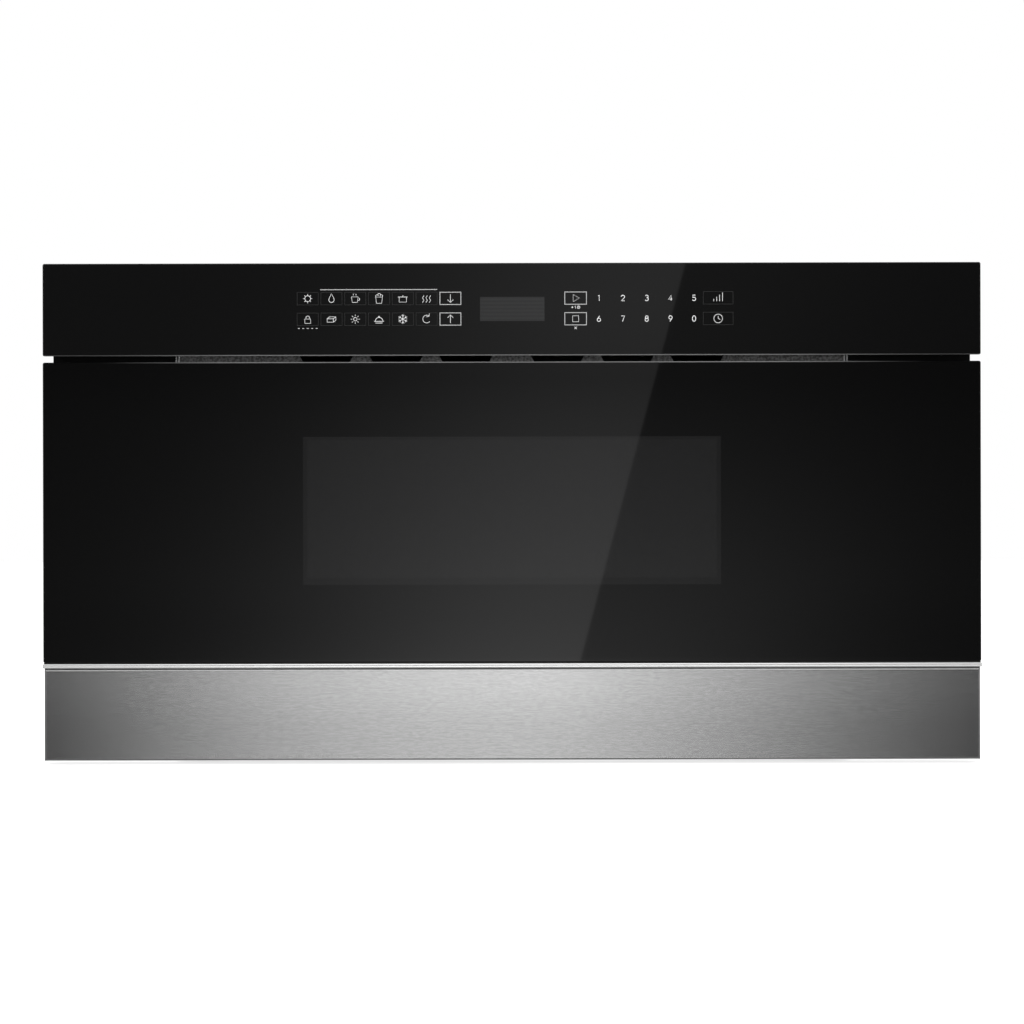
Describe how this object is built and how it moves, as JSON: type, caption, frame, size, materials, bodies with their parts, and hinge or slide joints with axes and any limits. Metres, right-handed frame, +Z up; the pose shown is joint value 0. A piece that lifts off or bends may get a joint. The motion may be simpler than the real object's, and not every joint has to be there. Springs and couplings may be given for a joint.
{
  "type": "microwave drawer",
  "caption": "Built-in microwave oven with a wide glass and steel drawer front, touch panel strip above it, and a basket on telescopic slides moved by a rack drive.",
  "frame": {"origin": "middle of the footprint at the height of the shelf it stands on", "axes": "+X to the viewer's right, -Y out of the front where the drawer opens, +Z up"},
  "size_m": [0.7598, 0.595, 0.4051],
  "materials": {
    "zinc_sheet": "zinc-coated steel sheet, satin",
    "black_rubber": "moulded rubber",
    "screw_steel": "zinc-plated screws",
    "black_plastic": "fine-textured black plastic",
    "black_enamel": "black paint, satin",
    "cavity_enamel": "grey enamel, semi-gloss",
    "ceramic": "opaque white glass-ceramic",
    "magnetron_metal": "bare aluminium fins and plated yoke",
    "motor_can": "drawn metal can",
    "transformer_iron": "varnished laminations and windings",
    "circuit_board": "green board with dark parts",
    "display": "dark display",
    "lamp_housing": "zinc-coated lamp box with a clear bulb",
    "cutout_body": "phenolic body on a metal tab",
    "rail_steel": "zinc-plated rolled steel",
    "bracket_steel": "zinc-coated steel",
    "white_acetal": "white acetal",
    "antenna_metal": "stamped aluminium",
    "front_glass": "black-printed front glass, polished",
    "stainless": "horizontally brushed stainless steel",
    "bright_trim": "bright aluminium",
    "screen_steel": "perforated sheet, black",
    "clear_glass": "clear glass",
    "basket_plastic": "heat-resistant grey plastic",
    "tray_glass": "clear glass tray"
  },
  "bodies": {
    "chassis": {"base_pan": "zinc_sheet", "base_feet": "black_rubber", "side_panel_left": "zinc_sheet", "side_panel_right": "zinc_sheet", "top_cover": "zinc_sheet", "rear_panel": "zinc_sheet", "case_screws": "screw_steel", "cord_gland": "black_plastic", "front_flange": "black_enamel", "cavity_liner": "cavity_enamel", "ceramic_floor": "ceramic", "exhaust_duct": "zinc_sheet", "vent_grille": "black_enamel", "waveguide": "zinc_sheet", "magnetron": "magnetron_metal", "antenna_motor": "motor_can", "fan_housing": "black_plastic", "fan_motor": "motor_can", "hv_transformer": "transformer_iron", "hv_capacitor": "motor_can", "power_board": "circuit_board", "cavity_lamp": "lamp_housing", "thermal_cutouts": "cutout_body", "outer_rails": "rail_steel", "drive_housing": "bracket_steel", "drive_motor": "motor_can", "interlock_switches": "black_plastic", "panel_housing": "black_plastic", "panel_glass": "front_glass", "display_module": "display", "touch_board": "circuit_board", "control_board": "circuit_board"},
    "drawer": {"door_glass": "front_glass", "door_band": "stainless", "door_trim": "bright_trim", "door_frame": "black_plastic", "window_screen": "screen_steel", "window_pane": "clear_glass", "door_inner_panel": "cavity_enamel", "choke_cover": "black_plastic", "door_screws": "screw_steel", "door_bumpers": "black_rubber", "basket": "basket_plastic", "basket_floor": "tray_glass", "inner_rails": "rail_steel", "arm_brackets": "bracket_steel", "rack_beam": "bracket_steel", "drive_rack": "white_acetal", "strikers": "white_acetal"},
    "middle_rail_left": {"middle_rail_left": "rail_steel"},
    "middle_rail_right": {"middle_rail_right": "rail_steel"},
    "outer_cages": {"ball_cages_outer": "rail_steel"},
    "inner_cages": {"ball_cages_inner": "rail_steel"},
    "output_gear": {"output_gear": "white_acetal"},
    "idler_gear": {"idler_gear": "white_acetal"},
    "motor_gear": {"motor_gear": "white_acetal"},
    "fan_impeller": {"fan_impeller": "black_plastic"},
    "antenna_rotor": {"antenna_rotor": "antenna_metal"},
    "plunger_left": {"interlock_plunger_left": "white_acetal"},
    "plunger_right": {"interlock_plunger_right": "white_acetal"}
  },
  "joints": [
    {"name": "drawer_slide", "type": "slide", "parent": "chassis", "child": "drawer", "axis": [0, -1, 0], "range_m": [0, 0.385]},
    {"name": "middle_rail_left_slide", "type": "slide", "parent": "chassis", "child": "middle_rail_left", "axis": [0, -1, 0], "range_m": [0, 0.193]},
    {"name": "middle_rail_right_slide", "type": "slide", "parent": "chassis", "child": "middle_rail_right", "axis": [0, -1, 0], "range_m": [0, 0.193]},
    {"name": "outer_cages_slide", "type": "slide", "parent": "chassis", "child": "outer_cages", "axis": [0, -1, 0], "range_m": [0, 0.0965]},
    {"name": "inner_cages_slide", "type": "slide", "parent": "chassis", "child": "inner_cages", "axis": [0, -1, 0], "range_m": [0, 0.289]},
    {"name": "output_gear_turn", "type": "hinge", "parent": "chassis", "child": "output_gear", "pos_m": [0.132, -0.2295, 0.05185], "axis": [1, 0, 0], "range_deg": [0, 1640]},
    {"name": "idler_gear_turn", "type": "hinge", "parent": "chassis", "child": "idler_gear", "pos_m": [0.15, -0.19755, 0.04022], "axis": [1, 0, 0], "range_deg": [-4550, 0]},
    {"name": "motor_gear_turn", "type": "hinge", "parent": "chassis", "child": "motor_gear", "pos_m": [0.16, -0.16617, 0.03748], "axis": [1, 0, 0], "range_deg": [0, 11360]},
    {"name": "fan_spin", "type": "hinge", "parent": "chassis", "child": "fan_impeller", "pos_m": [-0.105, 0.227, 0.165], "axis": [1, 0, 0], "continuous": true},
    {"name": "antenna_spin", "type": "hinge", "parent": "chassis", "child": "antenna_rotor", "pos_m": [0, -0.04875, 0.1], "axis": [0, 0, 1], "continuous": true},
    {"name": "plunger_left_press", "type": "slide", "parent": "chassis", "child": "plunger_left", "axis": [0, 1, 0], "range_m": [0, 0.003], "stiffness_N_per_m": 150, "springref_m": -0.002},
    {"name": "plunger_right_press", "type": "slide", "parent": "chassis", "child": "plunger_right", "axis": [0, 1, 0], "range_m": [0, 0.003], "stiffness_N_per_m": 150, "springref_m": -0.002}
  ],
  "couplings": [
    {"joint": "middle_rail_left_slide", "follows": "drawer_slide", "ratio": 0.5},
    {"joint": "middle_rail_right_slide", "follows": "drawer_slide", "ratio": 0.5},
    {"joint": "outer_cages_slide", "follows": "drawer_slide", "ratio": 0.25},
    {"joint": "inner_cages_slide", "follows": "drawer_slide", "ratio": 0.75},
    {"joint": "output_gear_turn", "follows": "drawer_slide", "rad_per_m": 74.074},
    {"joint": "idler_gear_turn", "follows": "drawer_slide", "rad_per_m": -205.76},
    {"joint": "motor_gear_turn", "follows": "drawer_slide", "rad_per_m": 514.4}
  ]
}
